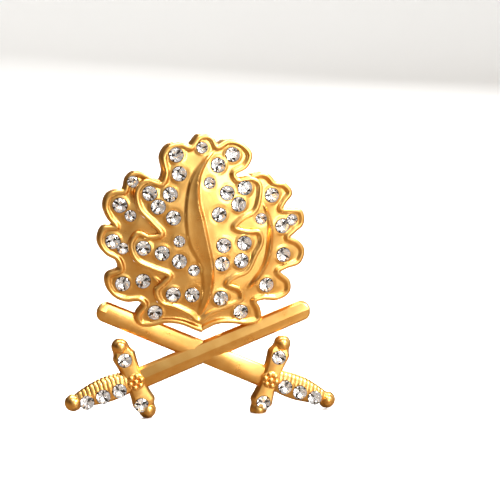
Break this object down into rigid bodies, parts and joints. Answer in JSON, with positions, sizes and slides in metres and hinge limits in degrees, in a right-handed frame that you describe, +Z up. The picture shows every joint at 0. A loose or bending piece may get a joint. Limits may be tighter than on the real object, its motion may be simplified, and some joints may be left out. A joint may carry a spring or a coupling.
{
  "type": "cap badge",
  "caption": "Gold-coloured cap badge: three overlapping oak leaves above crossed swords, set with clear round stones, fastened by a post and a butterfly clutch.",
  "frame": {"origin": "on the post's axis, at the back edge of the leaves", "axes": "the badge stands upright and faces -Y; +X is to the right seen from the front; +Z is up; +Y points out of the back along the post"},
  "size_m": [0.0275, 0.0117, 0.0285],
  "materials": {
    "satin_gold": "sand-blasted satin gold plate",
    "polished_gold": "polished gold plate",
    "crystal": "faceted clear crystal, foiled back"
  },
  "bodies": {
    "badge": {"centre_leaf": "satin_gold", "left_leaf": "satin_gold", "right_leaf": "satin_gold", "front_sword": "satin_gold", "rear_sword": "satin_gold", "rear_sword_point": "satin_gold", "centre_stone_1": "crystal", "centre_stone_2": "crystal", "centre_stone_3": "crystal", "centre_stone_4": "crystal", "centre_stone_5": "crystal", "centre_stone_6": "crystal", "centre_stone_7": "crystal", "centre_stone_8": "crystal", "centre_stone_9": "crystal", "centre_stone_10": "crystal", "centre_stone_11": "crystal", "centre_stone_12": "crystal", "centre_stone_13": "crystal", "centre_stone_14": "crystal", "centre_stone_15": "crystal", "centre_stone_16": "crystal", "centre_stone_17": "crystal", "centre_stone_18": "crystal", "centre_stone_19": "crystal", "centre_stone_20": "crystal", "centre_stone_21": "crystal", "centre_stone_22": "crystal", "centre_stone_23": "crystal", "centre_stone_24": "crystal", "centre_stone_25": "crystal", "centre_stone_26": "crystal", "left_stone_1": "crystal", "left_stone_2": "crystal", "left_stone_3": "crystal", "left_stone_4": "crystal", "left_stone_5": "crystal", "left_stone_6": "crystal", "left_stone_pair": "crystal", "right_stone_1": "crystal", "right_stone_2": "crystal", "right_stone_3": "crystal", "right_stone_4": "crystal", "right_stone_5": "crystal", "right_stone_pair": "crystal", "front_sword_stone_1": "crystal", "front_sword_stone_2": "crystal", "front_sword_stone_3": "crystal", "front_sword_stone_4": "crystal", "front_sword_stone_5": "crystal", "rear_sword_stone_1": "crystal", "rear_sword_stone_2": "crystal", "rear_sword_stone_3": "crystal", "rear_sword_stone_4": "crystal", "rear_sword_stone_5": "crystal", "post": "polished_gold"},
    "clutch_base": {"clutch_disc": "polished_gold"},
    "clutch_top": {"clutch_housing": "polished_gold"},
    "left_ear": {"wing_left": "polished_gold"},
    "right_ear": {"wing_right": "polished_gold"}
  },
  "joints": [
    {"name": "clutch_slide", "type": "slide", "parent": "badge", "child": "clutch_base", "axis": [0, 1, 0], "range_m": [0, 0.006]},
    {"name": "clutch_turn", "type": "hinge", "parent": "clutch_base", "child": "clutch_top", "pos_m": [0, 0.0022, 0], "axis": [0, 1, 0], "continuous": true},
    {"name": "left_ear_squeeze", "type": "hinge", "parent": "clutch_top", "child": "left_ear", "pos_m": [-0.0019, 0.0043, 0], "axis": [0, 0, -1], "range_deg": [0, 10], "stiffness_Nm_per_rad": 0.02, "springref_deg": -8.59},
    {"name": "right_ear_squeeze", "type": "hinge", "parent": "clutch_top", "child": "right_ear", "pos_m": [0.0019, 0.0043, 0], "axis": [0, 0, 1], "range_deg": [0, 10], "stiffness_Nm_per_rad": 0.02, "springref_deg": -8.59}
  ]
}
